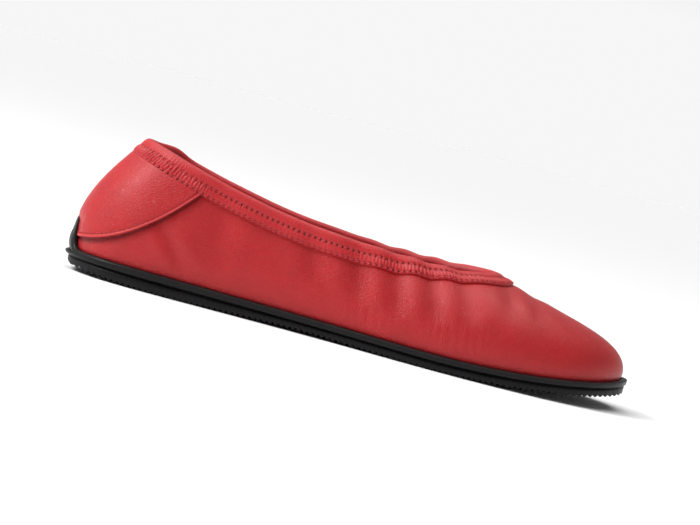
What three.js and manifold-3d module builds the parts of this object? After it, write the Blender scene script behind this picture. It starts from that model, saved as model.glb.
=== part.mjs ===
// A soft, flat-soled ballet flat for the right foot: a red leather upper lasted over a thin black rubber
// sole with a saw-tooth tread, a lapped heel piece and an elasticated binding round the collar.
// Millimetres, +Z up. "Along" runs from the back of the sole to its toe. "Side" is negative on the outer
// side of the foot and positive on its inner side.
import * as THREE from 'three';
import { ParametricGeometry } from 'three/addons/geometries/ParametricGeometry.js';
import { mergeVertices } from 'three/addons/utils/BufferGeometryUtils.js';
import Module from 'manifold-3d';

const wasm = await Module();
wasm.setup();

// Driving sizes of the last
const LENGTH = 256;
const BALL_WIDTH = 93;
const HEEL_HEIGHT = 62;
const INSTEP_HEIGHT = 44.5;

// Outsole, with its thickness at the ball, and its saw-tooth tread
const OUTSOLE_THICKNESS = 3.9;
const OUTSOLE_INSET = 0.7;
const TREAD_PITCH = 2.56;
const TREAD_DEPTH = 1.1;
const TREAD_CREST = 1.1;
const TREAD_FLANK = 0.45;

// Side view of the sole: it stands on one tooth under the heel and one under the ball, counted from the back.
// From these it curves up gently to the toe, to the back of the heel and under the arch.
// The layers over the tread rise in a slight wedge from the ball back to the heel.
const HEEL_TOOTH = 18;
const BALL_TOOTH = 63;
const TOE_SPRING = 8;
const HEEL_BEVEL = 2.6;
const HEEL_WEDGE = 1.8;
const ARCH_LIFT = 1;

// Midsole, with a lip round the foot of the upper and a tab up the back of the heel
const MIDSOLE_THICKNESS = 1.6;
const LIP_WALL = 2;
const LIP_WALL_TOP = 1.3;
const LIP_RISE_HEEL = 1.6;
const LIP_RISE_TOE = 0.6;
const HEEL_TAB_RISE = 13.5;
const HEEL_TAB_HALF_WIDTH = 16;

// Leather, insole and the gap left between fitted pieces
const UPPER_WALL = 1.8;
const FOOT_INSET = 2.6;
const OVERLAY_WALL = 1.2;
const FIT_GAP = 0.3;
const INSOLE_THICKNESS = 2;
const BINDING_OUTER_LEG = 7.6;
const BINDING_INNER_LEG = 6;
const BINDING_GAP = 0.45;

// Lower edge of the heel piece: from the side it starts level, low on the back of the heel, and sweeps up to
// the collar as a power of the share of its reach
const HEEL_SEAM_LOW = 5.2;
const HEEL_SEAM_RISE = 33.5;
const HEEL_SEAM_REACH = 52;
const HEEL_SEAM_POWER = 1.85;

// Middles of the crests that the shoe stands on
const CREST_MIDDLE = TREAD_FLANK + TREAD_CREST / 2;
const HEEL_REST = HEEL_TOOTH * TREAD_PITCH + CREST_MIDDLE;
const BALL_REST = BALL_TOOTH * TREAD_PITCH + CREST_MIDDLE;

// Levels between the layers under the ball, and the top of the lip at the back of the heel
const MIDSOLE_BOTTOM = OUTSOLE_THICKNESS + FIT_GAP;
const MIDSOLE_TOP = MIDSOLE_BOTTOM + MIDSOLE_THICKNESS;
const FOOT_LEVEL = MIDSOLE_TOP + FIT_GAP;
const LIP_LEVEL = FOOT_LEVEL + HEEL_WEDGE + LIP_RISE_HEEL;

// Facets round the shoe, up its wall, along the sprung toe and along the heel seam
const AROUND = 84;
const CROWDING = 0.25;
const WALL_STEPS = 10;
const SPRING_STEPS = 14;
const SEAM_STEPS = 24;

// Fineness of the curves and how far a cutting form stands clear of what it cuts
const SPLINE_PASSES = 40;
const BISECTIONS = 40;
const ARC_STEPS = 40;
const OUTLINE_STEPS = 720;
const SEAM_OVERRUN = 1.2;
const NUDGE = 1e-4;
const CLEAR = 20;

// Sections round the foot: along its outer side from the heel to the toe, then back along the inner side.
// along, side: edge of the sole, as shares of LENGTH and BALL_WIDTH.
// rimAlong, rimSide: collar, in the same shares. rimHeight: 0 at INSTEP_HEIGHT, 1 at HEEL_HEIGHT.
// rise, bulge: handle that lifts the wall off the sole and swells it outwards, in mm.
// reach, drop: handle that brings the wall in to the collar, from outside and below it, in mm.
const COLUMNS = ['along', 'side', 'rimAlong', 'rimSide', 'rimHeight', 'rise', 'bulge', 'reach', 'drop'];
const SECTIONS = {
  heelBack: [0.0, 0.0, 0.086, 0.0, 1.0, 20, 4.5, 14.5, 20],
  heelOuter: [0.055, -0.274, 0.121, -0.179, 0.87, 20, 3.5, 11, 18],
  heelSideOuter: [0.18, -0.347, 0.195, -0.258, 0.56, 18, 3.0, 4, 16.5],
  waistOuter: [0.328, -0.358, 0.328, -0.284, 0.13, 15.5, 2.5, 2.5, 13],
  archOuter: [0.477, -0.405, 0.457, -0.3, -0.08, 15, 2.5, 3.5, 12],
  ballOuter: [0.625, -0.479, 0.578, -0.279, -0.13, 16, 2.5, 10, 8],
  littleToe: [0.77, -0.474, 0.664, -0.21, -0.1, 18, 2.5, 20, 6],
  toeOuter: [0.898, -0.347, 0.707, -0.105, -0.04, 18, 2.0, 32, 9],
  toeFrontOuter: [0.98, -0.074, 0.725, 0.0, 0.0, 17, 1.5, 42, 12],
  toeFrontInner: [0.988, 0.253, 0.721, 0.1, -0.01, 17, 1.5, 42, 12],
  bigToe: [0.91, 0.453, 0.695, 0.189, -0.05, 18, 2.0, 32, 9],
  ballInnerFront: [0.773, 0.521, 0.645, 0.263, -0.1, 18, 2.5, 20, 6],
  ballInner: [0.625, 0.479, 0.563, 0.3, -0.11, 16, 2.5, 10, 8],
  archInner: [0.477, 0.368, 0.449, 0.295, -0.05, 15, 2.5, 3.5, 12],
  waistInner: [0.328, 0.31, 0.328, 0.268, 0.15, 15.5, 2.5, 2.5, 13],
  heelSideInner: [0.18, 0.332, 0.195, 0.247, 0.57, 18, 3.0, 4, 16.5],
  heelInner: [0.055, 0.268, 0.121, 0.174, 0.87, 20, 3.5, 11, 18],
};

const LEATHER = new THREE.MeshStandardMaterial({ color: '#c8383d', roughness: 0.48, metalness: 0 });
const BINDING_LEATHER = new THREE.MeshStandardMaterial({ color: '#cf4045', roughness: 0.5, metalness: 0 });
const TREAD_RUBBER = new THREE.MeshStandardMaterial({ color: '#1e1c20', roughness: 0.55, metalness: 0 });
const LIP_RUBBER = new THREE.MeshStandardMaterial({ color: '#262424', roughness: 0.6, metalness: 0 });
const INSOLE_CLOTH = new THREE.MeshStandardMaterial({ color: '#151317', roughness: 0.9, metalness: 0 });

// Control values that make a closed uniform cubic B-spline pass through every value
function splineControls(values) {
  const count = values.length;
  let controls = values;
  for (let pass = 0; pass < SPLINE_PASSES; pass += 1) {
    const last = controls;
    const neighbours = (i) => last[(i + count - 1) % count] + last[(i + 1) % count];
    controls = values.map((value, i) => (6 * value - neighbours(i)) / 4);
  }
  return controls;
}

function splineValue(controls, around) {
  const count = controls.length;
  const place = (around - Math.floor(around)) * count;
  const span = Math.floor(place);
  const t = place - span;
  const weights = [(1 - t) ** 3, 3 * t ** 3 - 6 * t ** 2 + 4, -3 * t ** 3 + 3 * t ** 2 + 3 * t + 1, t ** 3];
  return weights.reduce((sum, weight, k) => sum + (weight / 6) * controls[(span + k - 1 + count) % count], 0);
}

const CONTROLS = Object.fromEntries(
  COLUMNS.map((name, column) => [name, splineControls(Object.values(SECTIONS).map((row) => row[column]))]),
);

function column(name, around) {
  return splineValue(CONTROLS[name], around);
}

// Shares turned into sizes, so that the sole's outline measures exactly LENGTH by BALL_WIDTH
function sharesToSizes(alongName, sideName) {
  const places = Array.from({ length: OUTLINE_STEPS }, (_, i) => i / OUTLINE_STEPS);
  const alongs = places.map((around) => column('along', around));
  const sides = places.map((around) => column('side', around));
  const [back, front] = [Math.min(...alongs), Math.max(...alongs)];
  const width = Math.max(...sides) - Math.min(...sides);
  return (around) =>
    new THREE.Vector2(
      ((column(alongName, around) - back) / (front - back)) * LENGTH,
      (column(sideName, around) / width) * BALL_WIDTH,
    );
}

const soleEdge = sharesToSizes('along', 'side');
const rimPlan = sharesToSizes('rimAlong', 'rimSide');

function outward(around) {
  const step = soleEdge(around + NUDGE).sub(soleEdge(around - NUDGE));
  return new THREE.Vector2(step.y, -step.x).normalize();
}

function outline(around, inset) {
  return soleEdge(around).addScaledVector(outward(around), -inset);
}

// Side view of the sole
function toeSpring(along) {
  const share = (along - BALL_REST) / (LENGTH - BALL_REST);
  return TOE_SPRING * Math.max(share, 0) ** 2;
}

function layerLift(along) {
  return toeSpring(along) + HEEL_WEDGE * Math.max(1 - along / BALL_REST, 0);
}

function treadLevel(along) {
  const bevel = HEEL_BEVEL * Math.max((HEEL_REST - along) / HEEL_REST, 0) ** 2;
  const archShare = THREE.MathUtils.clamp((along - HEEL_REST) / (BALL_REST - HEEL_REST), 0, 1);
  return toeSpring(along) + bevel + ARCH_LIFT * Math.sin(Math.PI * archShare) ** 2;
}

// Outside of the upper at a place round the foot: one curve from the sole (height 0) to the collar (height 1)
function wallCurve(around) {
  const foot = outline(around, FOOT_INSET);
  const rim = rimPlan(around);
  const out = outward(around);
  const lean = foot.clone().sub(rim).normalize();
  const footLevel = FOOT_LEVEL + layerLift(foot.x);
  const rimLevel = INSTEP_HEIGHT + (HEEL_HEIGHT - INSTEP_HEIGHT) * column('rimHeight', around);
  const low = foot.clone().addScaledVector(out, column('bulge', around));
  const high = rim.clone().addScaledVector(lean, column('reach', around));
  return new THREE.CubicBezierCurve3(
    new THREE.Vector3(foot.x, foot.y, footLevel),
    new THREE.Vector3(low.x, low.y, footLevel + column('rise', around)),
    new THREE.Vector3(high.x, high.y, rimLevel - column('drop', around)),
    new THREE.Vector3(rim.x, rim.y, rimLevel),
  );
}

function wallFrame(around, height) {
  const curve = wallCurve(around);
  const up = curve.getTangent(height);
  const forward = wallCurve(around + NUDGE).getPoint(height).sub(wallCurve(around - NUDGE).getPoint(height));
  return { point: curve.getPoint(height), up, normal: forward.cross(up).normalize() };
}

function wallPoint(around, height, offset) {
  const { point, normal } = wallFrame(around, height);
  return point.addScaledVector(normal, offset);
}

// Height on the wall at a distance below the collar, measured along the leather
function heightBelowRim(around, distance) {
  const curve = wallCurve(around);
  let last = curve.getPoint(1);
  let left = distance;
  for (let step = 1; step <= ARC_STEPS; step += 1) {
    const next = curve.getPoint(1 - step / ARC_STEPS);
    const length = next.distanceTo(last);
    if (length >= left) return 1 - (step - 1 + left / length) / ARC_STEPS;
    left -= length;
    last = next;
  }
  return 0;
}

// Height on the wall at a rise over its foot
function heightAtRise(around, rise) {
  const curve = wallCurve(around);
  const level = curve.v0.z + rise;
  let [low, high] = [0, 1];
  for (let pass = 0; pass < BISECTIONS; pass += 1) {
    const middle = (low + high) / 2;
    if (curve.getPoint(middle).z < level) low = middle;
    else high = middle;
  }
  return low;
}

// Geometry and boolean helpers
function welded(geometry) {
  geometry.deleteAttribute('normal');
  geometry.deleteAttribute('uv');
  return mergeVertices(geometry);
}

function toSolid(geometry) {
  const mesh = welded(geometry);
  const vertProperties = new Float32Array(mesh.attributes.position.array);
  const triVerts = new Uint32Array(mesh.index.array);
  return new wasm.Manifold(new wasm.Mesh({ numProp: 3, vertProperties, triVerts }));
}

function toGeometry(solid) {
  const { vertProperties, triVerts } = solid.getMesh();
  const geometry = new THREE.BufferGeometry();
  geometry.setAttribute('position', new THREE.BufferAttribute(vertProperties, 3));
  geometry.setIndex(new THREE.BufferAttribute(triVerts, 1));
  return geometry;
}

// Places round the shoe, closer together round the heel and the toe than along the sides
const PLACES = Array.from({ length: AROUND }, (_, i) => {
  const share = i / AROUND;
  return share - (CROWDING * Math.sin(4 * Math.PI * share)) / (4 * Math.PI);
});

// Ring round the shoe: loopAt gives the closed section at a place round the foot, outside upwards first
function ring(loopAt) {
  const loops = PLACES.map(loopAt);
  const corners = loops[0].length;
  const surface = (around, turn, target) => {
    const loop = loops[Math.round(around * AROUND) % AROUND];
    target.copy(loop[Math.round(turn * corners) % corners]);
  };
  return new ParametricGeometry(surface, AROUND, corners);
}

// Flat plate of the sole's outline, tall enough to be cut by a side view
function planForm(inset) {
  const points = PLACES.map((around) => outline(around, inset));
  return new THREE.ExtrudeGeometry(new THREE.Shape(points), { depth: HEEL_HEIGHT, bevelEnabled: false });
}

// Side view, given as points along and up, carried right across the shoe
function sideForm(points) {
  const across = { depth: 2 * BALL_WIDTH, bevelEnabled: false };
  const form = new THREE.ExtrudeGeometry(new THREE.Shape(points), across);
  return form.rotateX(Math.PI / 2).translate(0, BALL_WIDTH, 0);
}

// Line along the sole at a level, straight from behind the heel to the ball and then following the toe spring
function layerLine(level) {
  const points = [new THREE.Vector2(-CLEAR, level + layerLift(-CLEAR))];
  for (let step = 0; step <= SPRING_STEPS; step += 1) {
    const along = THREE.MathUtils.lerp(BALL_REST, LENGTH + CLEAR, step / SPRING_STEPS);
    points.push(new THREE.Vector2(along, level + layerLift(along)));
  }
  return points;
}

function slab(bottom, top) {
  return sideForm([...layerLine(bottom), ...layerLine(top).reverse()]);
}

function soleLayer(inset, bottom, top) {
  return toSolid(planForm(inset)).intersect(toSolid(slab(bottom, top)));
}

// Outsole: the plan outline cut by a side view whose lower line is the saw-tooth tread
function treadLine() {
  const points = [];
  for (let start = -TREAD_PITCH; start < LENGTH + TREAD_PITCH; start += TREAD_PITCH) {
    const tooth = [
      [0, TREAD_DEPTH],
      [TREAD_FLANK, 0],
      [TREAD_FLANK + TREAD_CREST, 0],
      [2 * TREAD_FLANK + TREAD_CREST, TREAD_DEPTH],
    ];
    const level = treadLevel(start + CREST_MIDDLE);
    for (const [step, height] of tooth) {
      points.push(new THREE.Vector2(start + step, level + height));
    }
  }
  return points;
}

function outsole() {
  const side = sideForm([...treadLine(), ...layerLine(OUTSOLE_THICKNESS).reverse()]);
  return toGeometry(toSolid(planForm(OUTSOLE_INSET)).intersect(toSolid(side)));
}

// Midsole: a plate under the whole foot, joined to the lip that follows the foot of the upper
function lipRise(around) {
  const { x, y } = soleEdge(around);
  const share = x < LENGTH / 2 ? THREE.MathUtils.clamp(Math.abs(y) / HEEL_TAB_HALF_WIDTH, 0, 1) : 1;
  const tab = HEEL_TAB_RISE * Math.cos((Math.PI / 2) * share);
  return THREE.MathUtils.lerp(LIP_RISE_HEEL, LIP_RISE_TOE, x / LENGTH) + tab;
}

function lipLoop(around) {
  const rise = lipRise(around);
  const rows = [0, 0.5, 1].map((share) => ({
    height: heightAtRise(around, rise * share),
    wall: THREE.MathUtils.lerp(LIP_WALL, LIP_WALL_TOP, share),
  }));
  const inside = rows.map(({ height }) => wallPoint(around, height, FIT_GAP));
  const outside = rows.map(({ height, wall }) => wallPoint(around, height, FIT_GAP + wall));
  const sunk = -FIT_GAP - MIDSOLE_THICKNESS / 2;
  const innerFoot = inside[0].clone().setZ(inside[0].z + sunk);
  const outerFoot = outside[0].clone().setZ(outside[0].z + sunk);
  return [outerFoot, ...outside, ...inside.reverse(), innerFoot];
}

function midsole() {
  const plate = soleLayer(0, MIDSOLE_BOTTOM, MIDSOLE_TOP);
  return toGeometry(plate.add(toSolid(ring(lipLoop))));
}

function insole() {
  const inset = FOOT_INSET + UPPER_WALL + FIT_GAP;
  return toGeometry(soleLayer(inset, FOOT_LEVEL, FOOT_LEVEL + INSOLE_THICKNESS));
}

// Skin that follows the wall from its foot to a height, between two offsets from the outside of the leather
function skinLoop(around, top, inner, outer) {
  const heights = Array.from({ length: WALL_STEPS + 1 }, (_, step) => (top * step) / WALL_STEPS);
  const outside = heights.map((height) => wallPoint(around, height, outer));
  const inside = heights.map((height) => wallPoint(around, height, inner));
  return [...outside, ...inside.reverse()];
}

// Upper: one hollow wall from the sole to the collar, open above and below
function upperLoop(around) {
  return skinLoop(around, 1, -UPPER_WALL, 0);
}

// Heel piece: a second skin on the upper, cut from below by the seam's curve and round the heel tab
function heelSkinLoop(around) {
  const top = heightBelowRim(around, BINDING_OUTER_LEG + FIT_GAP);
  return skinLoop(around, top, FIT_GAP, FIT_GAP + OVERLAY_WALL);
}

function tabRoomLoop(around) {
  const top = heightAtRise(around, lipRise(around) + FIT_GAP);
  return skinLoop(around, top, 0, 2 * LIP_WALL);
}

function heelPiece() {
  const points = Array.from({ length: SEAM_STEPS + 1 }, (_, step) => {
    const along = (HEEL_SEAM_REACH * SEAM_OVERRUN * step) / SEAM_STEPS;
    const rise = HEEL_SEAM_LOW + HEEL_SEAM_RISE * (along / HEEL_SEAM_REACH) ** HEEL_SEAM_POWER;
    return new THREE.Vector2(along, LIP_LEVEL + rise);
  });
  const back = points[0].clone().setX(-CLEAR);
  const top = back.clone().setY(points[SEAM_STEPS].y);
  const cutter = toSolid(sideForm([back, ...points, top]));
  const skin = toSolid(ring(heelSkinLoop)).intersect(cutter);
  return toGeometry(skin.subtract(toSolid(ring(tabRoomLoop))));
}

// Binding: a strip folded over the collar, one leg outside the upper and one inside it
function bindingLoop(around) {
  const { point, up, normal } = wallFrame(around, 1);
  const middle = point.clone().addScaledVector(normal, -UPPER_WALL / 2);
  const inner = UPPER_WALL / 2 + BINDING_GAP;
  const outer = inner + OVERLAY_WALL;
  const leg = (distances, offset) =>
    distances.map((distance) => wallPoint(around, heightBelowRim(around, distance), offset));
  const fold = (angles, radius) =>
    angles.map((angle) =>
      middle
        .clone()
        .addScaledVector(normal, radius * Math.cos(THREE.MathUtils.degToRad(angle)))
        .addScaledVector(up, radius * Math.sin(THREE.MathUtils.degToRad(angle))),
    );
  const outerLeg = [BINDING_OUTER_LEG, BINDING_OUTER_LEG / 2, 0];
  const innerLeg = [0, BINDING_INNER_LEG / 2, BINDING_INNER_LEG];
  return [
    ...leg(outerLeg, BINDING_GAP + OVERLAY_WALL),
    ...fold([45, 90, 135], outer),
    ...leg(innerLeg, -UPPER_WALL - BINDING_GAP - OVERLAY_WALL),
    ...leg([...innerLeg].reverse(), -UPPER_WALL - BINDING_GAP),
    ...fold([120, 60], inner),
    ...leg([...outerLeg].reverse(), BINDING_GAP),
  ];
}

// The shoe, its origin on the floor under the middle of its outline
function piece(name, geometry, material) {
  const mesh = new THREE.Mesh(geometry, material);
  mesh.name = name;
  return mesh;
}

const shoe = new THREE.Group();
shoe.add(
  piece('outsole', outsole(), TREAD_RUBBER),
  piece('midsole_lip', midsole(), LIP_RUBBER),
  piece('insole', insole(), INSOLE_CLOTH),
  piece('upper', welded(ring(upperLoop)), LEATHER),
  piece('heel_piece', heelPiece(), LEATHER),
  piece('collar_binding', welded(ring(bindingLoop)), BINDING_LEATHER),
);

const bounds = new THREE.Box3().setFromObject(shoe);
const middle = bounds.getCenter(new THREE.Vector3());
shoe.position.set(-middle.x, -middle.y, -bounds.min.z);

export default shoe;
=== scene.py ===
"""Dresses a red leather ballet flat: creased upper, lapped heel piece, gathered collar and toothed sole.

Sizes are in millimetres on the last, where "along" runs from the back of the sole to its toe and "side" is
negative on the outer side of the foot. A place "around" the foot runs from 0 at the back of the heel along
the outer side to the toe, and back along the inner side to 1. A "height" runs up the wall of the upper,
from 0 at the sole to 1 at the collar. Finished meshes are in metres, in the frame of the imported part.
"""

from __future__ import annotations

import logging
import math
from collections.abc import Callable, Sequence
from dataclasses import dataclass, field
from enum import Enum, IntEnum

import bmesh
import bpy
import numpy as np
from mathutils import Matrix, Quaternion, Vector

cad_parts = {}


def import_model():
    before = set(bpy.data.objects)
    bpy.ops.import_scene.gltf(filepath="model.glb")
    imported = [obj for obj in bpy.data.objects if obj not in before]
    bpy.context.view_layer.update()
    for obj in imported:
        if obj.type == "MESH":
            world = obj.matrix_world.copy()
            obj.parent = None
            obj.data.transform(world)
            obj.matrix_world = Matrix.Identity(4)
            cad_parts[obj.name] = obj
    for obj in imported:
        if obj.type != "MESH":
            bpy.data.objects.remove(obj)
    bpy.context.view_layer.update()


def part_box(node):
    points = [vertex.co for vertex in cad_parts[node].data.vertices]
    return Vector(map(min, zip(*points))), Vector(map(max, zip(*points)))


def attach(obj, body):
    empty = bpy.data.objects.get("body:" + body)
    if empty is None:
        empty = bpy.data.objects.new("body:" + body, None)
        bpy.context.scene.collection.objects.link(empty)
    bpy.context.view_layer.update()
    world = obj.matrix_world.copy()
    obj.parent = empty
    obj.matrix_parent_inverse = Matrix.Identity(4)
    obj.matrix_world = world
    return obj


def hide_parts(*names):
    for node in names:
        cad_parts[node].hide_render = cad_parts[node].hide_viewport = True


MM = 0.001
MERGE = 0.001 * MM
BODY = "root"
LOG = logging.getLogger("ballet_flat")

Array = np.ndarray
Span = tuple[float, float]


class Column(IntEnum):
    """Columns of the table of sections."""

    ALONG = 0
    SIDE = 1
    RIM_ALONG = 2
    RIM_SIDE = 3
    RIM_HEIGHT = 4
    RISE = 5
    BULGE = 6
    REACH = 7
    DROP = 8


# Sections round the foot, from the back of the heel along the outer side to the toe and back along the inner.
# The sole's edge and the collar are shares of the length and the ball width, the collar's height runs from
# 0 at the instep to 1 at the heel, and the four handles that shape the wall are in millimetres.
SECTIONS: dict[str, tuple[float, ...]] = {
    "heel_back": (0.0, 0.0, 0.086, 0.0, 1.0, 20, 4.5, 14.5, 20),
    "heel_outer": (0.055, -0.274, 0.121, -0.179, 0.87, 20, 3.5, 11, 18),
    "heel_side_outer": (0.18, -0.347, 0.195, -0.258, 0.56, 18, 3.0, 4, 16.5),
    "waist_outer": (0.328, -0.358, 0.328, -0.284, 0.13, 15.5, 2.5, 2.5, 13),
    "arch_outer": (0.477, -0.405, 0.457, -0.3, -0.08, 15, 2.5, 3.5, 12),
    "ball_outer": (0.625, -0.479, 0.578, -0.279, -0.13, 16, 2.5, 10, 8),
    "little_toe": (0.77, -0.474, 0.664, -0.21, -0.1, 18, 2.5, 20, 6),
    "toe_outer": (0.898, -0.347, 0.707, -0.105, -0.04, 18, 2.0, 32, 9),
    "toe_front_outer": (0.98, -0.074, 0.725, 0.0, 0.0, 17, 1.5, 42, 12),
    "toe_front_inner": (0.988, 0.253, 0.721, 0.1, -0.01, 17, 1.5, 42, 12),
    "big_toe": (0.91, 0.453, 0.695, 0.189, -0.05, 18, 2.0, 32, 9),
    "ball_inner_front": (0.773, 0.521, 0.645, 0.263, -0.1, 18, 2.5, 20, 6),
    "ball_inner": (0.625, 0.479, 0.563, 0.3, -0.11, 16, 2.5, 10, 8),
    "arch_inner": (0.477, 0.368, 0.449, 0.295, -0.05, 15, 2.5, 3.5, 12),
    "waist_inner": (0.328, 0.31, 0.328, 0.268, 0.15, 15.5, 2.5, 2.5, 13),
    "heel_side_inner": (0.18, 0.332, 0.195, 0.247, 0.57, 18, 3.0, 4, 16.5),
    "heel_inner": (0.055, 0.268, 0.121, 0.174, 0.87, 20, 3.5, 11, 18),
}


def smooth_step(low: float, high: float, value: Array) -> Array:
    """Eases from 0 at low to 1 at high."""
    share = np.clip((value - low) / (high - low), 0.0, 1.0)
    return share * share * (3.0 - 2.0 * share)


def window(rise: Span, fall: Span, value: Array) -> Array:
    """Eases in over one span and out over another."""
    return smooth_step(*rise, value) * (1 - smooth_step(*fall, value))


def bump(value: Array, centre: float, width: float) -> Array:
    """Gives a soft bump of height 1 round a centre."""
    return np.exp(-(((value - centre) / width) ** 2))


def unit(vectors: Array) -> Array:
    """Scales each row to length 1."""
    return vectors / np.linalg.norm(vectors, axis=-1, keepdims=True)


def running_length(points: Array) -> Array:
    """Measures each line of points, up to each of its points."""
    steps = np.linalg.norm(np.diff(points, axis=-2), axis=-1)
    return np.concatenate([np.zeros_like(steps[..., :1]), np.cumsum(steps, axis=-1)], axis=-1)


@dataclass
class Last:
    """Form that the shoe is made on: the sole's outline and the wall that rises from it to the collar."""

    length: float = 256.0
    ball_width: float = 93.0
    heel_height: float = 62.0
    instep_height: float = 44.5
    toe_spring: float = 8.0
    heel_wedge: float = 1.8
    heel_rest: float = 47.08
    ball_rest: float = 162.28
    outsole_inset: float = 0.7
    foot_inset: float = 2.6
    foot_level: float = 6.1
    lip_level: float = 9.5
    spline_passes: int = 40
    outline_steps: int = 720
    arc_steps: int = 80
    nudge: float = 1e-4

    def __post_init__(self) -> None:
        """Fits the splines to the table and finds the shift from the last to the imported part's frame."""
        table = np.array(list(SECTIONS.values()), dtype=float)
        self.controls = table
        # The spline meets a row where four of its control and both neighbours add up to six of the row
        for _ in range(self.spline_passes):
            neighbours = np.roll(self.controls, 1, axis=0) + np.roll(self.controls, -1, axis=0)
            self.controls = (6.0 * table - neighbours) / 4.0
        samples = self.columns(np.arange(self.outline_steps) / self.outline_steps)
        along = samples[:, Column.ALONG]
        side = samples[:, Column.SIDE]
        self.back = along.min()
        self.reach = np.ptp(along)
        self.spread = np.ptp(side)
        sole_low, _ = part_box("outsole")
        plate_low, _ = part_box("midsole_lip")
        outer_edge = side.min() / self.spread * self.ball_width
        self.shift = np.array([sole_low.x / MM - self.outsole_inset, plate_low.y / MM - outer_edge, 0.0])

    def columns(self, around: Array) -> Array:
        """Reads every column of the table between its rows, on a cubic B-spline.

        Args:
            around: Places round the foot.

        Returns:
            One row of columns for each place.
        """
        count = len(SECTIONS)
        place = np.mod(around, 1.0) * count
        span = np.floor(place).astype(int)
        t = (place - span)[:, None]
        weights = ((1 - t) ** 3, 3 * t**3 - 6 * t**2 + 4, -3 * t**3 + 3 * t**2 + 3 * t + 1, t**3)
        return sum(weight / 6.0 * self.controls[(span + k - 1) % count] for k, weight in enumerate(weights))

    def plan(self, columns: Array, along: Column, side: Column) -> Array:
        """Turns two columns of shares into places in plan.

        Args:
            columns: Rows read from the table.
            along: Column of the shares of the length.
            side: Column of the shares of the ball width.

        Returns:
            One place for each row.
        """
        x = (columns[:, along] - self.back) / self.reach * self.length
        y = columns[:, side] / self.spread * self.ball_width
        return np.stack([x, y], axis=1)

    def sole_edge(self, around: Array) -> Array:
        """Gives the edge of the sole in plan."""
        return self.plan(self.columns(around), Column.ALONG, Column.SIDE)

    def outward(self, around: Array) -> Array:
        """Gives the direction out of the sole's edge in plan."""
        step = self.sole_edge(around + self.nudge) - self.sole_edge(around - self.nudge)
        return unit(np.stack([step[:, 1], -step[:, 0]], axis=1))

    def outline(self, around: Array, inset: Array | float) -> Array:
        """Gives the sole's edge moved in by an inset."""
        return self.sole_edge(around) - self.outward(around) * np.reshape(inset, (-1, 1))

    def spring(self, along: Array) -> Array:
        """Gives how far the toe springs up."""
        share = (along - self.ball_rest) / (self.length - self.ball_rest)
        return self.toe_spring * np.maximum(share, 0.0) ** 2

    def lift(self, along: Array) -> Array:
        """Gives how far the layers over the tread rise: with the toe's spring, and in a wedge to the heel."""
        return self.spring(along) + self.heel_wedge * np.maximum(1.0 - along / self.ball_rest, 0.0)

    def handles(self, around: Array) -> list[Array]:
        """Gives the four points that the wall's curve is drawn from.

        Args:
            around: Places round the foot.

        Returns:
            The points at the sole, above it, below the collar and at the collar, each a row for every place.
        """
        columns = self.columns(around)
        foot = self.outline(around, self.foot_inset)
        rim = self.plan(columns, Column.RIM_ALONG, Column.RIM_SIDE)
        foot_level = self.foot_level + self.lift(foot[:, 0])
        rise = self.heel_height - self.instep_height
        rim_level = self.instep_height + rise * columns[:, Column.RIM_HEIGHT]
        low = foot + self.outward(around) * columns[:, Column.BULGE, None]
        high = rim + unit(foot - rim) * columns[:, Column.REACH, None]
        return [
            np.column_stack([foot, foot_level]),
            np.column_stack([low, foot_level + columns[:, Column.RISE]]),
            np.column_stack([high, rim_level - columns[:, Column.DROP]]),
            np.column_stack([rim, rim_level]),
        ]

    def wall(self, around: Array, height: Array) -> Array:
        """Gives points on the outside of the upper.

        Args:
            around: Places round the foot.
            height: Heights on the wall.

        Returns:
            One point for each pair.
        """
        a, b, c, d = self.handles(around)
        t = height[:, None]
        return (1 - t) ** 3 * a + 3 * (1 - t) ** 2 * t * b + 3 * (1 - t) * t**2 * c + t**3 * d

    def frame(self, around: Array, height: Array) -> tuple[Array, Array, Array]:
        """Gives points of the wall with their directions.

        Args:
            around: Places round the foot.
            height: Heights on the wall.

        Returns:
            The points, the directions up the wall and the directions out of it.
        """
        a, b, c, d = self.handles(around)
        t = height[:, None]
        up = unit((1 - t) ** 2 * (b - a) + 2 * (1 - t) * t * (c - b) + t**2 * (d - c))
        forward = self.wall(around + self.nudge, height) - self.wall(around - self.nudge, height)
        return self.wall(around, height), up, unit(np.cross(forward, up))

    def wall_table(self, around: Array) -> tuple[Array, Array]:
        """Samples the wall at each place, from the collar down to the sole.

        Args:
            around: Places round the foot.

        Returns:
            The heights sampled, and the points as an array of place, height and coordinate.
        """
        heights = np.linspace(1.0, 0.0, self.arc_steps + 1)
        points = [self.wall(around, np.full_like(around, height)) for height in heights]
        return heights, np.stack(points, axis=1)

    def heights_below_rim(self, around: Array, distances: Sequence[float] | Array) -> Array:
        """Finds heights at distances below the collar, measured along the leather.

        Args:
            around: Places round the foot.
            distances: Distances to find at every place.

        Returns:
            One row of heights for each place.
        """
        heights, points = self.wall_table(around)
        return np.array([np.interp(distances, run, heights) for run in running_length(points)])

    def heights_at_rise(self, around: Array, rises: Array) -> Array:
        """Finds heights at rises over the foot of the wall.

        Args:
            around: Places round the foot.
            rises: One row of rises for each place.

        Returns:
            Heights in the same rows.
        """
        heights, points = self.wall_table(around)
        levels = points[:, ::-1, 2] - points[:, -1:, 2]
        return np.array([np.interp(row, level, heights[::-1]) for row, level in zip(rises, levels)])

    def placed(self, points: Array) -> Array:
        """Moves points from the last, in millimetres, to the part's frame, in metres."""
        return (points + self.shift) * MM


@dataclass(frozen=True)
class Crease:
    """Soft trough across the leather, from a place at the collar to a place near the sole.

    It deepens from a low height on the wall, and fades out again past a high one.
    """

    rim: float
    foot: float
    depth: float
    width: float
    low: float
    high: float = 1.0


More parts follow.
